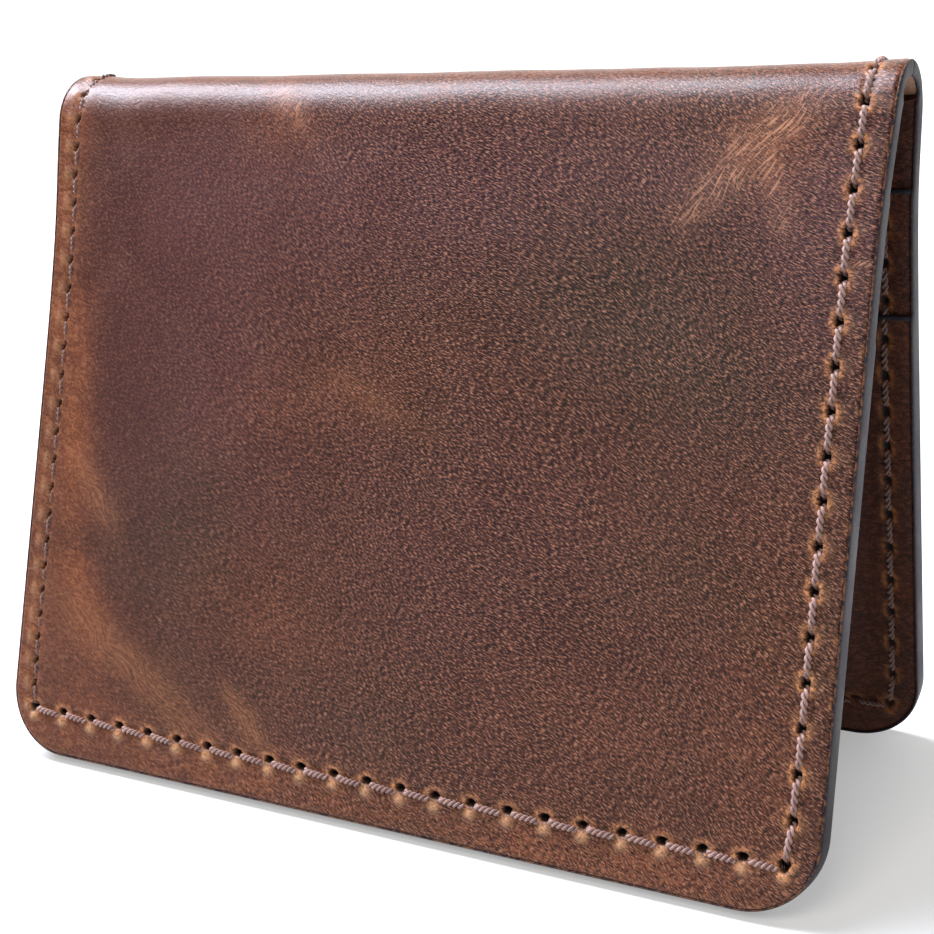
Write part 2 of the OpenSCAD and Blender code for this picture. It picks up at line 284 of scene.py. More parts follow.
def flat_slab(start, thickness, step):
    """A closed slab from start to the bottom edge, as a bmesh in the flat pattern."""
    inner = SHEET_X - SHEET_R
    xs = lines(-SHEET_X, -inner, inner, SHEET_X, step=step)
    ss = lines(start, SHEET_S - SHEET_R, SHEET_S, step=step)
    gx, gs = np.meshgrid(xs, ss)
    px, ps = corner_map(gx.ravel(), gs.ravel())
    bm = bmesh.new()
    layers = []
    for d in (0.0, thickness):
        made = [bm.verts.new((x, s, d)) for x, s in zip(px, ps)]
        layers.append(np.array(made, dtype=object).reshape(len(ss), len(xs)))
    top, low = layers
    for i in range(len(ss) - 1):
        for j in range(len(xs) - 1):
            bm.faces.new((top[i, j], top[i, j + 1], top[i + 1, j + 1], top[i + 1, j]))
            bm.faces.new((low[i, j], low[i + 1, j], low[i + 1, j + 1], low[i, j + 1]))
    rim = [(0, j) for j in range(len(xs))]
    rim += [(i, len(xs) - 1) for i in range(1, len(ss))]
    rim += [(len(ss) - 1, j) for j in range(len(xs) - 2, -1, -1)]
    rim += [(i, 0) for i in range(len(ss) - 2, 0, -1)]
    for here, there in zip(rim, rim[1:] + rim[:1]):
        bm.faces.new((top[there], top[here], low[here], low[there]))
    return bm


def refine(bm, wanted, cuts):
    """Cuts the faces that wanted() picks, by centre, into a finer grid."""
    bm.faces.ensure_lookup_table()
    centres = np.array([f.calc_center_median()[:] for f in bm.faces])
    picked = [bm.faces[i] for i in np.nonzero(wanted(*centres.T))[0]]
    edges = list({e for f in picked for e in f.edges})
    bmesh.ops.subdivide_edges(bm, edges=edges, cuts=cuts, use_grid_fill=True)
    many = [f for f in bm.faces if len(f.verts) > 4]
    bmesh.ops.triangulate(bm, faces=many)


def points_of(bm):
    return np.array([v.co[:] for v in bm.verts])


def dress(mesh, side, uv_name, uvs, fields, materials):
    """Gives a mesh its UV map, vertex fields and materials, and puts it in the scene."""
    if side > 0:
        mesh.flip_normals()
    layer = mesh.uv_layers.new(name=uv_name)
    loops = np.zeros(len(mesh.loops), np.int32)
    mesh.loops.foreach_get("vertex_index", loops)
    layer.data.foreach_set("uv", uvs[loops].astype(np.float32).ravel())
    for label, values in fields.items():
        field = mesh.attributes.new(label, "FLOAT", "POINT")
        field.data.foreach_set("value", np.asarray(values, np.float32))
    for material in materials:
        mesh.materials.append(material)
    mesh.shade_smooth()
    obj = bpy.data.objects.new(mesh.name, mesh)
    bpy.context.scene.collection.objects.link(obj)
    return obj


def sheet_mesh(name, bm, flat, side, fields, materials):
    """Turns a slab into an object. Its UV map holds x and the signed s, so that the pattern
    runs on over the top of the fold."""
    mesh = bpy.data.meshes.new(name)
    bm.to_mesh(mesh)
    bm.free()
    mesh.vertices.foreach_set("co", place(flat, side).astype(np.float32).ravel())
    uvs = np.stack([flat[:, 0], side * flat[:, 1]], axis=1) / UV_SPAN + 0.5
    obj = dress(mesh, side, "pattern", uvs, fields, materials)
    mesh.set_sharp_from_angle(angle=SHARP_ANGLE)
    mesh.update()
    return obj


def tube_mesh(name, tubes, side, fields, material):
    """Closed tubes from arrays of rings, indexed by ring, point around and x, s or d."""
    points, faces, uvs = [], [], []
    start = 0
    for rings in tubes:
        count, around = rings.shape[:2]
        points.append(rings.reshape(-1, 3))
        index = start + np.arange(count * around).reshape(count, around)
        after = np.roll(index, -1, axis=1)
        quads = np.stack([index[:-1], after[:-1], after[1:], index[1:]], axis=-1)
        faces.extend(quads.reshape(-1, 4).tolist())
        faces.append(index[0][::-1].tolist())
        faces.append(index[-1].tolist())
        v, u = np.meshgrid(np.linspace(0, 1, around), np.arange(count) * 0.1)
        uvs.append(np.stack([u.ravel(), v.ravel()], axis=1))
        start += count * around
    mesh = bpy.data.meshes.new(name)
    mesh.from_pydata(place(np.concatenate(points), side).tolist(), [], faces)
    return dress(mesh, side, "ply", np.concatenate(uvs), fields, [material])


# ---- shaders ----

class Shader:
    """Short names for the nodes that the materials below are built from."""

    def __init__(self, name):
        self.material = bpy.data.materials.new(name)
        self.material.use_nodes = True
        self.tree = self.material.node_tree
        self.tree.nodes.clear()
        self.out = self.node("ShaderNodeOutputMaterial")
        self.surface = self.node("ShaderNodeBsdfPrincipled")
        self.link(self.surface.outputs[0], self.out.inputs["Surface"])

    def node(self, kind, **settings):
        made = self.tree.nodes.new(kind)
        for key, value in settings.items():
            setattr(made, key, value)
        return made

    def link(self, a, b):
        self.tree.links.new(a, b)

    def feed(self, node, key, value):
        socket = node.inputs[key]
        if isinstance(value, bpy.types.NodeSocket):
            self.link(value, socket)
        else:
            socket.default_value = value

    def set(self, **values):
        """Sets inputs of the surface, such as Base_Color for Base Color."""
        for key, value in values.items():
            self.feed(self.surface, key.replace("_", " "), value)

    def pattern(self):
        """The flat pattern's own coordinates, in millimetres."""
        uv = self.node("ShaderNodeUVMap", uv_map="pattern")
        centred = self.vector("SUBTRACT", uv.outputs[0], (0.5, 0.5, 0))
        return self.vector("MULTIPLY", centred, (UV_SPAN, UV_SPAN, UV_SPAN))

    def space(self):
        """The object's own coordinates, in millimetres."""
        where = self.node("ShaderNodeTexCoord").outputs["Object"]
        return self.vector("MULTIPLY", where, (1 / MM, 1 / MM, 1 / MM))

    def vector(self, operation, a, b):
        made = self.node("ShaderNodeVectorMath", operation=operation)
        self.feed(made, 0, a)
        self.feed(made, 1, b)
        return made.outputs[0]

    def turned(self, where, degrees, stretch):
        """Coordinates turned in the sheet and stretched, for a grain that has a direction."""
        made = self.node("ShaderNodeMapping", vector_type="TEXTURE")
        self.feed(made, "Vector", where)
        self.feed(made, "Rotation", (0, 0, math.radians(degrees)))
        self.feed(made, "Scale", (stretch, 1.0, 1.0))
        return made.outputs[0]

    def swirl(self, where, size, reach):
        """Coordinates pushed about by broad noise, so that a grain's direction wanders."""
        made = self.node("ShaderNodeTexNoise")
        self.feed(made, "Vector", where)
        self.feed(made, "Scale", 1 / size)
        self.feed(made, "Detail", 0.0)
        push = self.vector("SUBTRACT", made.outputs[1], (0.5, 0.5, 0.5))
        return self.vector("ADD", where, self.vector("MULTIPLY", push, (reach, reach, 0)))

    def noise(self, where, size, detail=2.0, rough=0.5, twist=0.0):
        """Noise whose features are about this many millimetres across."""
        made = self.node("ShaderNodeTexNoise")
        self.feed(made, "Vector", where)
        self.feed(made, "Scale", 1 / size)
        self.feed(made, "Detail", detail)
        self.feed(made, "Roughness", rough)
        self.feed(made, "Distortion", twist)
        return made.outputs[0]

    def cells(self, where, size):
        """Distance from the borders of cells about this many millimetres across."""
        made = self.node("ShaderNodeTexVoronoi", feature="DISTANCE_TO_EDGE")
        self.feed(made, "Vector", where)
        self.feed(made, "Scale", 1 / size)
        return made.outputs["Distance"]

    def field(self, name):
        """A value stored on the mesh's points."""
        return self.node("ShaderNodeAttribute", attribute_name=name).outputs["Fac"]

    def times(self, a, b):
        made = self.node("ShaderNodeMath", operation="MULTIPLY")
        self.feed(made, 0, a)
        self.feed(made, 1, b)
        return made.outputs[0]

    def between(self, value, low, high, to_low=0.0, to_high=1.0):
        """Rescales a value from low..high to to_low..to_high, and clips it there."""
        made = self.node("ShaderNodeMapRange", interpolation_type="SMOOTHSTEP")
        for index, number in enumerate((value, low, high, to_low, to_high)):
            self.feed(made, index, number)
        return made.outputs[0]

    def mix(self, factor, a, b):
        """Colour a where the factor is 0, and b where it is 1."""
        made = self.node("ShaderNodeMix", data_type="RGBA")
        self.feed(made, 0, factor)
        self.feed(made, 6, a)
        self.feed(made, 7, b)
        return made.outputs[2]

    def bump(self, height, depth_mm, strength, over=None):
        """A normal that shows a height, on top of another normal if there is one."""
        made = self.node("ShaderNodeBump")
        self.feed(made, "Strength", strength)
        self.feed(made, "Distance", depth_mm * MM)
        self.feed(made, "Height", height)
        if over is not None:
            self.feed(made, "Normal", over)
        return made.outputs[0]


def rgb(red, green, blue):
    """A colour given as 0 to 255 display values."""
    def linear(value):
        value /= 255
        return value / 12.92 if value <= 0.04045 else ((value + 0.055) / 1.055) ** 2.4
    return (linear(red), linear(green), linear(blue), 1.0)


def grey(value):
    return (value, value, value, 1.0)


def shell_leather():
    """Oiled pull-up leather: a fine creased grain, cloudy wax, and lighter worn places."""
    sh = Shader("shell_leather")
    flat = sh.pattern()
    drift = sh.swirl(flat, 34, reach=9)
    bent = sh.swirl(flat, 5, reach=3.5)
    cloud = sh.noise(flat, 8, detail=4, rough=0.6, twist=0.6)
    patch = sh.noise(flat, 22, twist=0.4)
    fuzz = sh.noise(flat, 0.30, detail=3, rough=0.7, twist=0.6)
    grain = sh.noise(sh.turned(drift, -28, 4), 0.13, detail=1.5, rough=0.55, twist=0.2)
    wrinkle = sh.noise(sh.turned(drift, -12, 1.7), 0.60, twist=0.8)
    pebble = sh.cells(sh.turned(drift, -24, 1.8), 0.34)
    rake = sh.noise(sh.turned(bent, -42, 7), 0.26, rough=0.6, twist=0.4)
    fan = sh.noise(sh.turned(bent, 54, 9), 0.28, rough=0.6, twist=0.8)
    streak = sh.noise(sh.turned(flat, -36, 16), 0.42, rough=0.6)
    crisp = sh.field("crisp")
    worn = sh.times(sh.field("worn"), sh.between(cloud, 0.25, 0.75, 0.55, 1.3))
    hole = sh.field("hole")

    # the wax, where it is worn, and a painted purplish sheen
    base = sh.mix(sh.between(cloud, 0.3, 0.7), rgb(56, 26, 18), rgb(69, 33, 23))
    base = sh.mix(sh.between(patch, 0.45, 0.68, 0, 0.45), base, rgb(60, 39, 23))
    # painted reflection: a purplish sheen of the bluish overhead light, laid into the colour
    base = sh.mix(sh.field("painted_sheen"), base, rgb(80, 46, 52))
    base = sh.mix(sh.field("dull"), base, rgb(44, 36, 28))
    base = sh.mix(worn, base, rgb(122, 65, 34))

    # the grain: painted highlights on its ridges, and painted shade in its furrows and cell
    # borders
    ridge_highlight = sh.times(sh.between(grain, 0.51, 0.65), crisp)
    base = sh.mix(sh.times(ridge_highlight, 0.68), base, rgb(166, 118, 94))
    furrow_shade = sh.times(sh.between(grain, 0.37, 0.49, 1, 0), crisp)
    base = sh.mix(sh.times(furrow_shade, 0.94), base, rgb(9, 4, 3))
    border_shade = sh.times(sh.between(pebble, 0, 0.12, 0.6, 0), crisp)
    base = sh.mix(border_shade, base, rgb(22, 10, 7))
    base = sh.mix(sh.between(wrinkle, 0.55, 0.72, 0, 0.14), base, rgb(138, 88, 66))

    # rubbed places and scratches
    rubbed = sh.times(sh.between(wrinkle, 0.48, 0.62, 0, 0.45), worn)
    base = sh.mix(rubbed, base, rgb(158, 102, 66))
    raked = sh.times(sh.between(rake, 0.44, 0.62, 0.2, 0.75), sh.field("rake"))
    base = sh.mix(raked, base, rgb(150, 100, 66))
    fanned = sh.times(sh.between(fan, 0.53, 0.62, 0.08, 0.72), sh.field("fan"))
    base = sh.mix(fanned, base, rgb(190, 138, 108))
    base = sh.mix(sh.between(streak, 0.71, 0.80, 0, 0.5), base, rgb(172, 120, 96))

    # round the stitches, with painted shade in the holes
    lit = sh.times(sh.field("pucker"), sh.between(fuzz, 0.36, 0.56, 0.35, 1.1))
    base = sh.mix(lit, base, rgb(190, 144, 104))
    rim = sh.times(sh.field("rim"), sh.between(fuzz, 0.40, 0.58, 0.1, 1))
    base = sh.mix(rim, base, rgb(204, 140, 92))
    base = sh.mix(hole, base, rgb(10, 5, 4))
    sh.set(Base_Color=base)

    rough = sh.mix(sh.field("polish"), sh.between(cloud, 0.3, 0.7, 0.38, 0.50), grey(0.29))
    sh.set(Roughness=sh.mix(hole, rough, grey(0.95)))
    sh.set(Specular_IOR_Level=0.20, Coat_Weight=0.07, Coat_Roughness=0.34)
    fine = sh.bump(wrinkle, depth_mm=0.06, strength=0.7)
    fine = sh.bump(sh.times(grain, crisp), depth_mm=0.018, strength=1.0, over=fine)
    fine = sh.bump(sh.between(pebble, 0, 0.14), depth_mm=0.010, strength=0.7, over=fine)
    fine = sh.bump(streak, depth_mm=0.03, strength=0.5, over=fine)
    sh.set(Normal=fine)
    return sh.material


def flesh_side():
    """The raw, fuzzy back of the shell's leather, seen inside the fold."""
    sh = Shader("flesh_side")
    flat = sh.pattern()
    fuzz = sh.noise(flat, 0.35, detail=4, rough=0.7, twist=1.5)
    cloud = sh.noise(flat, 5, detail=3)
    base = sh.mix(fuzz, rgb(92, 58, 40), rgb(176, 122, 84))
    base = sh.mix(sh.between(cloud, 0.35, 0.7, 0, 0.5), base, rgb(112, 74, 52))
    sh.set(Base_Color=base, Roughness=0.95, Sheen_Weight=0.25, Sheen_Roughness=0.6)
    sh.set(Normal=sh.bump(fuzz, depth_mm=0.18, strength=0.9))
    return sh.material


def inside_leather(name, dark, light, shine):
    """The smoother leather of the lining and the pockets. shine is its lowest roughness."""
    sh = Shader(name)
    flat = sh.pattern()
    grain = sh.noise(sh.turned(flat, 12, 1.5), 0.55, detail=3, rough=0.6, twist=0.7)
    pebble = sh.cells(flat, 0.7)
    cloud = sh.noise(flat, 11, detail=4, rough=0.6, twist=0.5)
    scuff = sh.noise(sh.turned(flat, 78, 10), 0.45, rough=0.6)
    base = sh.mix(sh.between(cloud, 0.3, 0.72), dark, light)
    base = sh.mix(sh.between(grain, 0.4, 0.66, 0, 0.45), base, rgb(100, 56, 37))
    # painted shade in the creases along the cell borders of the grain
    base = sh.mix(sh.between(pebble, 0, 0.1, 0.5, 0), base, rgb(20, 10, 7))
    base = sh.mix(sh.between(scuff, 0.68, 0.8, 0, 0.4), base, rgb(138, 80, 50))
    base = sh.mix(sh.field("rim"), base, rgb(184, 118, 66))
    # painted shade: the stitch holes are coloured near black
    base = sh.mix(sh.field("hole"), base, rgb(15, 9, 8))
    sh.set(Base_Color=base, Specular_IOR_Level=0.14)
    sh.set(Roughness=sh.between(cloud, 0.3, 0.7, shine, shine + 0.14))
    fine = sh.bump(grain, depth_mm=0.09, strength=0.8)
    fine = sh.bump(sh.between(pebble, 0, 0.12), depth_mm=0.05, strength=0.7, over=fine)
    sh.set(Normal=fine)
    return sh.material


def edge_paint():
    """Slate grey edge paint, burnished, thin enough in places for the leather to show."""
    sh = Shader("edge_paint")
    where = sh.space()
    cloud = sh.noise(where, 6, detail=3)
    speck = sh.noise(where, 0.5, detail=4, rough=0.7)
    fibre = sh.noise(sh.turned(where, 8, 5), 0.4, detail=3, rough=0.6)
    base = sh.mix(sh.between(cloud, 0.3, 0.7), rgb(21, 20, 26), rgb(33, 32, 40))
    base = sh.mix(sh.between(fibre, 0.55, 0.75, 0, 0.3), base, rgb(72, 70, 84))
    bare = sh.times(sh.field("rim"), sh.between(speck, 0.42, 0.6))
    base = sh.mix(bare, base, rgb(190, 128, 84))
    sh.set(Base_Color=base, Specular_IOR_Level=0.16)
    sh.set(Roughness=sh.between(cloud, 0.3, 0.7, 0.46, 0.60))
    fine = sh.bump(speck, depth_mm=0.03, strength=0.5)
    fine = sh.bump(fibre, depth_mm=0.04, strength=0.7, over=fine)
    sh.set(Normal=fine)
    return sh.material


def waxed_thread():
    """Waxed polyester thread: pinkish tan plies with fine fibres along them."""
    sh = Shader("waxed_thread")
    ply = sh.node("ShaderNodeUVMap", uv_map="ply").outputs[0]
    fibre = sh.noise(sh.vector("MULTIPLY", ply, (46, 9, 1)), 1, detail=3, rough=0.6, twist=0.4)
    cloud = sh.noise(sh.space(), 2.2)
    grime = sh.noise(sh.space(), 7)
    base = sh.mix(sh.between(fibre, 0.3, 0.7), rgb(122, 86, 76), rgb(190, 156, 148))
    base = sh.mix(sh.between(cloud, 0.4, 0.7, 0, 0.45), base, rgb(140, 102, 88))
    base = sh.mix(sh.between(grime, 0.5, 0.75, 0, 0.5), base, rgb(106, 74, 62))
    base = sh.mix(sh.field("soil"), base, rgb(72, 44, 35))
    # painted shade where the two plies press against each other
    base = sh.mix(sh.field("ply_gap_shade"), base, rgb(40, 24, 20))
    sh.set(Base_Color=base, Sheen_Weight=0.15, Sheen_Roughness=0.5)
    sh.set(Roughness=sh.between(fibre, 0.3, 0.7, 0.42, 0.62))
    sh.set(Normal=sh.bump(fibre, depth_mm=0.02, strength=0.8))
    return sh.material


# ---- fields of the outer leather ----

def blob(x, u, mid_x, mid_u, reach_x, reach_u, degrees=0):
    """A soft oval patch on a cover, turned by some degrees."""
    cos, sin = math.cos(math.radians(degrees)), math.sin(math.radians(degrees))
    dx, du = x - mid_x, u - mid_u
    return bump(np.hypot((dx * cos + du * sin) / reach_x, (du * cos - dx * sin) / reach_u))


def mark(x, u, start, end, width):
    """A soft line between two places on a cover, fading at both ends."""
    start, way = np.array(start), np.array(end) - np.array(start)
    t = ((x - start[0]) * way[0] + (u - start[1]) * way[1]) / (way @ way)
    near = np.clip(t, 0, 1)
    off = np.hypot(x - start[0] - near * way[0], u - start[1] - near * way[1])
    return bump(off / width) * (0.45 + 0.55 * np.sin(math.pi * near))


def front_wear(x, s):
    """Where the front cover is worn light, dull, raked or stretched, and where a purplish sheen
    of light is painted on it.
    """
    u = s - ARC
    left_margin = 0.40 * bump((x + 49) / 2.4) + 0.25 * blob(x, u, -47.5, 8, 3, 16)
    left_curve = 0.60 * mark(x, u, (-45.5, 22), (-43, 52), 2.6)
    left_curve += 0.42 * mark(x, u, (-44, 52), (-38, 62), 2.8)
    left_curve += 0.34 * blob(x, u, -43, 68, 9, 9)
    bottom = 0.45 * blob(x, u, -20, 74, 26, 3.5) + 0.40 * blob(x, u, 28, 75, 22, 3.5)
    right = 0.18 * blob(x, u, 44, 60, 5, 20) + 0.14 * blob(x, u, 28, 66, 14, 8)
    fold = 0.40 * blob(x, u, 39, 3, 4.5, 4) + 0.30 * blob(x, u, -18, -1, 5, 5)
    middle = 0.12 * blob(x, u, -8, 30, 14, 5, -20) + 0.15 * blob(x, u, -14, 56, 10, 6)
    worn = left_margin + left_curve + bottom + right + fold + middle
    # painted reflection: where a purplish sheen of the overhead light is painted
    painted_sheen = 0.95 * blob(x, u, 8, 8, 42, 11) + 0.50 * blob(x, u, -28, 30, 14, 18)
    painted_sheen += 0.70 * blob(x, u, 45, 12, 7, 16) + 0.30 * blob(x, u, 10, 44, 18, 14)
    dull = 0.80 * blob(x, u, 25, 18, 14, 10) + 0.45 * blob(x, u, 36, 28, 10, 6)
    dull += 0.35 * blob(x, u, -30, 48, 9, 12) + 0.30 * blob(x, u, -2, 19.4, 1.6, 1.6)
    rake = 0.60 * mark(x, u, (-46, 57), (-21, 71), 2.3)
    rake += 0.75 * mark(x, u, (-19, 65), (-13, 71), 1.3)
    rake += 0.65 * mark(x, u, (-43, 41), (-37, 49), 1.7)
    rake += 0.30 * mark(x, u, (-10, 28), (4, 34), 1.6)
    fan = 1.00 * mark(x, u, (41, -1), (31, 10), 1.5)
    fan += 0.80 * mark(x, u, (38, 3), (41, 11), 1.1)
    fan += 0.70 * mark(x, u, (42, -1), (34, 3.5), 1.7)
    fan += 0.60 * mark(x, u, (-22, -6), (-14, 2), 1.2)
    fan += 0.90 * mark(x, u, (47.4, 14.0), (50.4, 14.3), 0.35)
    return worn, painted_sheen, dull, rake, fan


def back_wear(x, s):
    """The same for the back cover, which lies on the table more."""
    u = s - ARC
    worn = 0.5 * blob(x, u, 46, 50, 5, 24) + 0.5 * blob(x, u, -45, 66, 8, 10)
    worn += 0.4 * blob(x, u, 0, 73, 45, 4) + 0.3 * blob(x, u, 12, 34, 20, 6, 30)
    # painted reflection: a purplish sheen of the overhead light
    painted_sheen = 0.7 * blob(x, u, -5, 9, 40, 9) + 0.4 * blob(x, u, 20, 50, 20, 16)
    dull = 0.7 * blob(x, u, -20, 26, 18, 12)
    rake = 0.7 * mark(x, u, (18, 12), (34, 24), 2.0)
    rake += 0.6 * mark(x, u, (-40, 50), (-24, 66), 2.2)
    fan = 0.7 * mark(x, u, (-36, 0), (-28, 9), 1.6)
    return worn, painted_sheen, dull, rake, fan


def stitch_relief(x, s, share=1.0):
    """Depth, hole, rim and pucker fields of the leather round the stitch holes. The hole field
    marks the shade painted into the holes. share tells how much of its full depth a hole has."""
    depth, hole, rim, tan = (np.zeros_like(x) for _ in range(4))
    for name, holes in ROWS.items():
        along, across = row_frame(name, x, s)
        spots = holes[:, 0] if name == "bottom" else holes[:, 1]
        first, last = spots[0], spots[-1]
        near = (np.abs(across) < 3) & (along > first - 3) & (along < last + 3)
        index = np.nonzero(near)[0]
        if not len(index):
            continue
        along, across = along[index], across[index]
        inside = smooth(along - first + 1.2) * smooth(last + 1.2 - along)
        nearest = np.abs(along[:, None] - spots[None, :]).argmin(axis=1)
        off = along - spots[nearest]
        half_l, half_w, shift, slant = HOLE_SHAPES[name]
        reach = np.hypot(off / half_l, (across - shift - slant * off) / half_w)
        ring = bump((reach - 1.6) / 0.7) * (0.6 + 0.4 * wave(x[index], s[index], 77, length=0.9))
        if name == "bottom":
            ring *= 0.30 + 0.5 * smooth((0.3 - across) / 0.6)
        if name == "left":
            ring *= 0.25
        tall, light, wide, away = PUCKERS[name]
        pucker = bump(off / wide) * bump((across - away) / 0.50) * inside
        trough = bump((across + 0.42) / 0.22) * bump((np.abs(off) - 2.1) / 1.35) * inside
        depth[index] += GROOVE_DEPTH * bump(across / 0.75) * inside
        depth[index] += HOLE_DEPTH * share * (1 - smooth((reach - 0.62) / 0.5))
        depth[index] += TROUGH_DEPTHS[name] * trough - tall * pucker - 0.10 * ring
        hole[index] = np.maximum(hole[index], 1 - smooth((reach - 0.85) / 0.4))
        rim[index] = np.maximum(rim[index], ring)
        tan[index] = np.maximum(tan[index], light * pucker)
    return depth, np.clip(hole, 0, 1), np.clip(rim, 0, 1), np.clip(tan, 0, 1)


def leather_half(name, side, wear, leather, flesh):
    """One half of the outer shell, from the middle of the fold to the bottom edge."""
    bm = flat_slab(0, SHELL_T, step=0.8)
    refine(bm, lambda x, s, d: (d < SKIN) & near_rows(x, s, reach=4.7), cuts=3)
    flat = points_of(bm)
    x, s, d = flat.T
    top = d < SHELL_T / 2
    inset = edge_distance(x, s)
    roll = EDGE_R - np.sqrt(np.maximum(EDGE_R**2 - np.maximum(EDGE_R - inset, 0) ** 2, 0))
    depth, hole, rim, tan = stitch_relief(x, s)
    relief = roll + depth + 0.10 * wave(x, side * s, 5, length=21) * smooth(inset / 6)
    relief += 0.025 * wave(x, side * s, 9, length=6) * smooth(inset / 3)
    fray = np.clip(wave(x, s, 31, length=2.1), 0, 1) * (0.25 + 0.75 * smooth((x - 40) / 8))
    rim = np.maximum(rim, 0.3 * bump((inset - 0.2) / 0.3) * fray)
    clear = smooth(s / 4)  # no patch crosses the middle of the fold, so the halves agree there
    worn, painted_sheen, dull, rake, fan = (np.clip(field, 0, 1) * clear for field in wear(x, s))
    worn = np.maximum(worn, 0.55 * bump(s / 4.5))
    crisp = 0.40 + 0.60 * smooth((x + 38) / 40)
    flat[:, 2] = np.where(top, d + relief, d)
    fields = {
        "hole": hole * top,
        "rim": rim * top,
        "pucker": tan * top,
        "worn": worn,
        "painted_sheen": 0.9 * painted_sheen,
        "dull": dull,
        "rake": rake,
        "fan": fan,
        "crisp": crisp,
        "polish": bump(s / 8),
    }
    obj = sheet_mesh(name, bm, flat, side, fields, [leather, flesh])
    give_second_material(obj.data, top)
    return obj


def give_second_material(mesh, top):
    """Gives the second material to the faces that have no corner on the outer side."""
    starts = np.zeros(len(mesh.polygons), np.int32)
    mesh.polygons.foreach_get("loop_start", starts)
    corners = np.zeros(len(mesh.loops), np.int32)
    mesh.loops.foreach_get("vertex_index", corners)
    outer = top[corners[starts]] | top[corners[starts + 1]] | top[corners[starts + 2]]
    mesh.polygons.foreach_set("material_index", (~outer).astype(np.int32))


# ---- sheets inside ----

def card_room(x):
    """How far a pocket bulges over its card, across the width, from 0 to 1."""
    return smooth((CARD_HALF_W + 0.4 - np.abs(x)) / 3.2)


def inner_sheet(name, side, start, face_d, room, material, lift=0.0, foot=0.0):
    """A lining panel or a pocket. face_d is the depth of its side against the shell, and room
    the thickness that the CAD gives it. lift is its bulge over a card, which ends at foot."""
    thickness = room - SHEET_AIR
    bm = flat_slab(start, thickness, step=1.3)
    refine(bm, lambda x, s, d: (d > SKIN) & near_rows(x, s, reach=4.9), cuts=2)
    flat = points_of(bm)
    x, s, d = flat.T
    inner = d > thickness / 2
    depth, hole, rim, _ = stitch_relief(x, s, share=0.25)
    depth = np.where(inner, depth, 0) * smooth((s - start - 0.6) / 1.0)
    raised = lift * card_room(x) * smooth((foot - s) / 4)
    raised *= CARD_FILL + 0.05 * wave(x, s, 17 + side, length=30)
    roll = np.where(inner, 0.30 * bump(edge_distance(x, s) / 0.35), 0)
    flat[:, 2] = face_d + d + raised - depth + SHEET_AIR / 2 - roll
    fields = {"hole": hole * inner, "rim": 0.4 * rim * inner}
    return sheet_mesh(name, bm, flat, side, fields, [material])


def slot_bead(name, side, mouth, face_d, lift, material):
    """The painted, rounded edge along the mouth of a pocket."""
    half = POCKET_T / 2
    around = 12
    ring = np.linspace(0, 2 * math.pi, around + 1)[:-1]
    xs = lines(-SHEET_X + 0.1, SHEET_X - 0.1, step=0.8)
    rows = []
    for x, up in zip(xs, lift * card_room(xs) * CARD_FILL):
        wobble = 1 + 0.08 * math.sin(x * 1.9) + 0.05 * math.sin(x * 5.1)
        s = mouth + 0.16 - 0.30 * wobble * np.cos(ring)
        d = face_d + half + up + SHEET_AIR / 2 + (half + 0.03) * np.sin(ring)
        rows.append(np.stack([np.full(around, x), s, d], axis=1))
    return tube_mesh(name, [np.array(rows)], side, {}, material)


# ---- painted edge ----

def layer_depth(s):
    """Depth of the innermost layer at the edge."""
    depth = SHELL_T + LINING_T * smooth((s - LINING_S + 0.5) / 1.0)
    depth += POCKET_T * smooth((s - UPPER_MOUTH + 0.3) / 0.7)
    return depth + POCKET_T * smooth((s - LOWER_MOUTH + 0.3) / 0.7)


def edge_path(step):
    """Points and outward normals along the edge of one half, from fold to fold."""
    corner_x, corner_s = SHEET_X - SHEET_R, SHEET_S - SHEET_R
    down = lines(0, corner_s, step=step)[:-1]
    along = lines(-corner_x, corner_x, step=step)[1:-1][::-1]
    angles = np.linspace(0, math.pi / 2, 26)
    arc_x, arc_s = np.cos(angles), np.sin(angles)
    one, nought = np.ones(len(down)), np.zeros(len(down))
    round_x, round_s = corner_x + SHEET_R * arc_x, corner_s + SHEET_R * arc_s
    x = [one * SHEET_X, round_x, along, -round_x[::-1], -one * SHEET_X]
    s = [down, round_s, np.full(len(along), SHEET_S), round_s[::-1], down[::-1]]
    nx = [one, arc_x, np.zeros(len(along)), -arc_x[::-1], -one]
    ns = [nought, arc_s, np.ones(len(along)), arc_s[::-1], nought]
    return [np.concatenate(part) for part in (x, s, nx, ns)]


def edge_bead(name, side, material):
    """The rounded, painted edge of one half."""
    x, s, nx, ns = edge_path(step=0.6)
    around = 20
    angle = np.linspace(0, 2 * math.pi, around + 1)[:-1]
    out = np.sign(np.cos(angle)) * np.abs(np.cos(angle)) ** 0.8
    across = np.sign(np.sin(angle)) * np.abs(np.sin(angle)) ** 0.6
    length = np.cumsum(np.hypot(np.gradient(x), np.gradient(s)))
    ragged = 0.10 * np.sin(length * 2.3) + 0.08 * np.sin(length * 5.7 + 1)
    ragged += 0.05 * np.sin(length * 11)
    low = layer_depth(s)
    middle, half = (low + 0.10) / 2, (low - 0.02) / 2
    rings = np.zeros((len(x), around, 3))
    bare = np.zeros((len(x), around))
    for i in range(around):
        if out[i] > 0:
            reach = PAINT_T * 0.96 * out[i]
        else:
            reach = (-0.20 + 0.5 * ragged) * -out[i]
        rings[:, i, 0] = x + nx * reach
        rings[:, i, 1] = s + ns * reach
        rings[:, i, 2] = middle - half * across[i]
        bare[:, i] = 0.25 if across[i] > 0.75 and out[i] < 0.5 else 0.04
    return tube_mesh(name, [rings], side, {"rim": bare.ravel()}, material)


# ---- thread ----

PLIES = 2
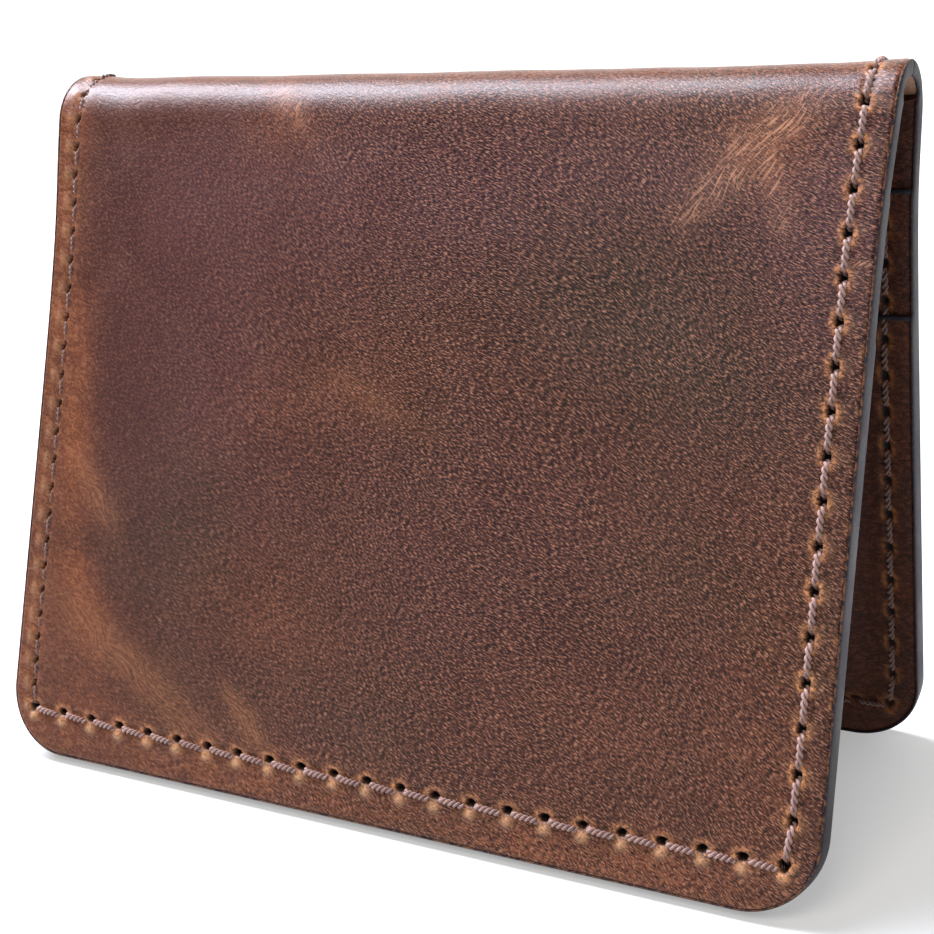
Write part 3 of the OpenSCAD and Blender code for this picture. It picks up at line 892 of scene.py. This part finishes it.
# radius of a ply, length of one turn of the twist, how far a stitch starts and ends from its
# holes, and how high its crown stands above the leather, lowest and highest
THREADS = {
    "right": (0.19, 1.60, 0.42, 0.30, 0.08, 0.15),
    "left": (0.14, 1.15, 0.30, 0.22, -0.22, -0.12),
    "bottom": (0.19, 1.15, 0.42, 0.30, 0.08, 0.15),
}
START_DEPTH = 1.25  # how deep in its hole a stitch starts
END_DEPTH = 1.15  # and how deep in the next one it ends
OLD_SOIL = 0.85  # how soiled the left rows and the inner stitches are
END_SOIL = 0.8  # how soiled every stitch gets at its hole


def plies(path, cross, twist, radius, sides, phase):
    """The twisted plies of one stitch. path is its centre line, cross points across the row."""
    tangent = np.gradient(path, axis=0)
    tangent /= np.linalg.norm(tangent, axis=1, keepdims=True)
    normal = np.cross(cross, tangent)
    steps = np.linalg.norm(np.diff(path, axis=0), axis=1)
    length = np.concatenate([[0], np.cumsum(steps)])
    around = np.linspace(0, 2 * math.pi, sides + 1)[:-1, None]
    circle = np.cos(around) * cross + np.sin(around) * normal[:, None]
    out = []
    for ply in range(PLIES):
        turn = phase + 2 * math.pi * (length / twist + ply / PLIES)
        aside = np.cos(turn)[:, None] * cross + np.sin(turn)[:, None] * normal
        middle = path + 0.95 * radius * aside
        out.append(middle[:, None] + 1.06 * radius * circle)
    return out


def stitch(row, p, q, outside, rng):
    """One stitch from hole p to hole q. It comes up steeply after p, and sinks slowly
    towards q. outside tells whether it lies on the outer face."""
    radius, twist, early, late, low_crown, high_crown = THREADS[row]
    steps, sides = (34, 7) if outside else (20, 5)
    crown = rng.uniform(low_crown, high_crown)
    t = np.linspace(0, 1, steps)
    t = 0.5 * t + 0.5 * (0.5 - 0.5 * np.cos(math.pi * t))
    rise = 1 - smooth(t / 0.14)
    sink = smooth((t - 0.80) / 0.20)
    tired = 0.16 * smooth((t - 0.3) / 0.6)
    depth = -crown + START_DEPTH * rise + END_DEPTH * sink + tired
    gap = np.linalg.norm(q - p)
    way = (q - p) / gap
    flat = p + way * (early + (gap - late - early) * t)[:, None]
    if not outside:
        depth = layer_depth(flat[:, 1] - 0.4) - depth + SHEET_AIR / 2
    sway = rng.uniform(-0.05, 0.05) * np.sin(np.linspace(0, math.pi, steps))
    if row == "bottom":
        sway += np.linspace(0.02, 0.42, steps)
    cross = np.array([-way[1], way[0], 0.0])
    path = np.column_stack([flat, depth]) + sway[:, None] * cross
    return plies(path, cross, twist, radius, sides, rng.uniform(0, 6.28))


def fold_stitch(row, hole, outside):
    """This half's share of the stitch over the top of the fold."""
    radius, twist = THREADS[row][:2]
    s = np.linspace(0, hole[1] - 0.30, 18)
    depth = -0.05 + END_DEPTH * smooth((s / s[-1] - 0.72) / 0.28)
    if not outside:
        depth = SHELL_T - depth
    path = np.column_stack([np.full(len(s), hole[0]), s, depth])
    return plies(path, np.array([-1.0, 0.0, 0.0]), twist, radius, sides=7, phase=0.0)


def ply_gap_shade_of(tubes):
    """How far each point of the plies is turned towards the middle of its thread; there shade is
    painted between the plies.
    """
    values = []
    for a, b in zip(tubes[::2], tubes[1::2]):
        middle = (a.mean(axis=1) + b.mean(axis=1)) / 2
        for rings in (a, b):
            far = np.linalg.norm(rings - middle[:, None], axis=2)
            values.append((1 - smooth(far / far.max() / 0.72)).ravel())
    return np.concatenate(values)


def soil_of(tube, start):
    """How soiled each point of a ply is, from its first ring to its last."""
    t = np.linspace(0, 1, len(tube))
    return np.repeat(start + (END_SOIL - start) * t**1.6, tube.shape[1])


def thread_row(name, side, row, material):
    """The stitches of one row of one half, outside and inside. A side row starts with its
    share of the stitches over the fold."""
    holes = ROWS[row]
    rng = np.random.default_rng(40 + side)
    tubes, soil = [], []
    for k in range(1 if row == "bottom" else 0, len(holes)):
        for outside in (True, False):
            if k == 0:
                made = fold_stitch(row, holes[0], outside)
            else:
                made = stitch(row, holes[k - 1], holes[k], outside, rng)
            clean = outside and row != "left"
            soil += [soil_of(tube, 0.0 if clean else OLD_SOIL) for tube in made]
            tubes += made
    fields = {"ply_gap_shade": ply_gap_shade_of(tubes), "soil": np.concatenate(soil)}
    return tube_mesh(name, tubes, side, fields, material)


# ---- camera, floor and lights ----

def make_camera():
    """Angles are in radians, places in millimetres."""
    azimuth, elevation, roll = 0.47475, 0.22435, -0.02271
    target = Vector((5.845, -5.881, 42.229))
    distance = 174.112
    sin_a, cos_a = math.sin(azimuth), math.cos(azimuth)
    sin_e, cos_e = math.sin(elevation), math.cos(elevation)
    back = Vector((sin_a * cos_e, -cos_a * cos_e, sin_e))
    level_right = Vector((cos_a, sin_a, 0))
    level_up = Vector((-sin_a * sin_e, cos_a * sin_e, cos_e))
    right = math.cos(roll) * level_right + math.sin(roll) * level_up
    up = math.cos(roll) * level_up - math.sin(roll) * level_right
    turn = Matrix((right, up, back)).transposed().to_4x4()
    data = bpy.data.cameras.new("camera")
    data.lens = 60.295
    data.sensor_width = 36
    data.shift_x = -0.01347
    data.shift_y = -0.05036
    data.clip_start = 0.01
    camera = bpy.data.objects.new("camera", data)
    camera.matrix_world = Matrix.Translation((target + back * distance) * MM) @ turn
    bpy.context.scene.collection.objects.link(camera)
    bpy.context.scene.camera = camera


def make_floor():
    """A pale sheet on the table that curves up behind the wallet, brighter far away."""
    front, back, curve, tall, half_w = -1.5, 0.9, 0.35, 1.4, 2.4
    bend = [(back + curve * math.sin(t), curve * (1 - math.cos(t)))
            for t in np.linspace(0, math.pi / 2, 13)]
    profile = [(front, 0.0)] + bend + [(back + curve, tall)]
    points = [(x, y, z) for y, z in profile for x in (-half_w, half_w)]
    faces = [(2 * i, 2 * i + 1, 2 * i + 3, 2 * i + 2) for i in range(len(profile) - 1)]
    mesh = bpy.data.meshes.new("floor")
    mesh.from_pydata(points, [], faces)
    mesh.shade_smooth()
    sh = Shader("pale_floor")
    away = sh.node("ShaderNodeVectorMath", operation="LENGTH")
    sh.feed(away, 0, sh.space())
    glow = sh.between(away.outputs["Value"], 200, 900, 0.35, 1)
    sh.set(Base_Color=grey(0.5), Roughness=0.9, Emission_Color=grey(1), Emission_Strength=glow)
    mesh.materials.append(sh.material)
    floor = bpy.data.objects.new("floor", mesh)
    bpy.context.scene.collection.objects.link(floor)


def area_light(name, place_at, look_at, size, power, colour):
    data = bpy.data.lights.new(name, "AREA")
    data.shape = "RECTANGLE"
    data.size, data.size_y = size
    data.energy = power
    data.color = colour
    light = bpy.data.objects.new(name, data)
    light.location = place_at
    light.rotation_euler = (look_at - place_at).to_track_quat("-Z", "Y").to_euler()
    bpy.context.scene.collection.objects.link(light)


def make_lights():
    """A bluish soft box above and to the left, a warm one in front, and a dim white world."""
    centre = Vector((-0.01, 0, 0.07))
    overhead = centre + Vector((-0.54, 0.02, 0.84)) * 0.6
    front = centre + Vector((0.05, -0.74, 0.67))
    area_light("overhead", overhead, centre, size=(0.28, 0.60), power=13.2,
               colour=(0.84, 0.87, 1.0))
    area_light("front", front, centre, size=(0.45, 0.45), power=5.6, colour=(1.0, 0.97, 0.93))
    world = bpy.data.worlds.new("studio")
    world.use_nodes = True
    background = world.node_tree.nodes["Background"]
    background.inputs["Color"].default_value = grey(1)
    background.inputs["Strength"].default_value = 0.20
    bpy.context.scene.world = world
    bpy.context.scene.view_settings.view_transform = "Standard"


make_camera()
make_floor()
make_lights()


# ---- the wallet ----


def bend_with(obj):
    """Bakes a piece's transform into its mesh; it is not made to bend."""
    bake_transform(obj)


def nodes_of(stem, body):
    """The CAD nodes of a half's piece. The front piece also stands for the spine's."""
    return [f"{stem}_{body}"] + ([f"{stem}_spine"] if body == "front" else [])


leather = shell_leather()
flesh = flesh_side()
lining = inside_leather("lining_leather", rgb(37, 16, 9), rgb(55, 26, 15), 0.50)
pocket = inside_leather("pocket_leather", rgb(42, 18, 10), rgb(62, 30, 17), 0.48)
paint = edge_paint()
thread = waxed_thread()

for body, side, wear in (("front", -1, front_wear), ("back", 1, back_wear)):
    shell = leather_half(f"leather_{body}", side, wear, leather, flesh)
    nodes = nodes_of("outer_shell", body)
    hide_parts(*nodes)
    bend_with(shell)

    bead = edge_bead(f"painted_edge_{body}", side, paint)
    nodes = nodes_of("edge_paint", body)
    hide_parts(*nodes)
    bend_with(bead)

    panel = inner_sheet(f"lining_panel_{body}", side, LINING_S, SHELL_T, LINING_T, lining)
    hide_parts(f"lining_{body}")
    bend_with(panel)

    for which, mouth, face_d, lift, foot in (
        ("upper", UPPER_MOUTH, LINING_D, CARD_GAP, UPPER_FOOT_S),
        ("lower", LOWER_MOUTH, UPPER_D, 2 * CARD_GAP, LOWER_FOOT_S),
    ):
        sheet = inner_sheet(f"{which}_pocket_sheet_{body}", side, mouth + PAINT_T, face_d,
                            POCKET_T, pocket, lift, foot)
        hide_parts(f"{which}_pocket_{body}")
        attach(sheet, body)
        edge = slot_bead(f"{which}_pocket_lip_{body}", side, mouth, face_d, lift, paint)
        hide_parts(f"{which}_slot_edge_{body}")
        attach(edge, body)

    for which in ("right", "left"):
        row = thread_row(f"{which}_thread_{body}", side, which, thread)
        nodes = nodes_of(f"{which}_stitches", body)
        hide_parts(*nodes)
        bend_with(row)
    row = thread_row(f"bottom_thread_{body}", side, "bottom", thread)
    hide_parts(f"bottom_stitches_{body}")
    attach(row, body)

    seam = frame["nodes"][f"pocket_seam_{body}"]
    seam.data.materials.clear()
    seam.data.materials.append(thread)
